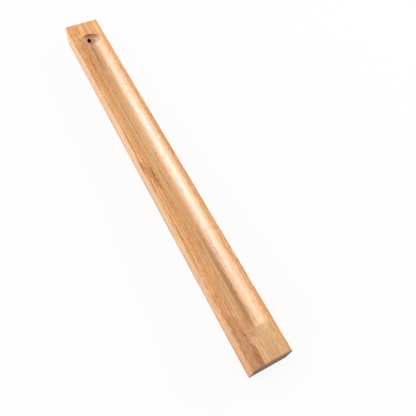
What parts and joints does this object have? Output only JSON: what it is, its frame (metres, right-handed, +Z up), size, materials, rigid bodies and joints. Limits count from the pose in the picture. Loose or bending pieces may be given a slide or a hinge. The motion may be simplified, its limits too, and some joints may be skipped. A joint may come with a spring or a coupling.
{
  "type": "incense stick holder",
  "caption": "Straight bar of laminated bamboo with a long round-bottomed ash groove in its top and a leaning stick hole at one end of the groove.",
  "frame": {"origin": "middle of the bar's underside, on the surface it stands on", "axes": "+X along the bar away from the stick hole, +Y across the bar, +Z up"},
  "size_m": [0.23, 0.02, 0.013],
  "materials": {
    "bamboo": "satin lacquer",
    "wood_glue": "cured, sanded flush"
  },
  "bodies": {
    "root": {"left_strip": "bamboo", "middle_strip": "bamboo", "right_strip": "bamboo", "left_glue_line": "wood_glue", "right_glue_line": "wood_glue"}
  },
  "joints": []
}
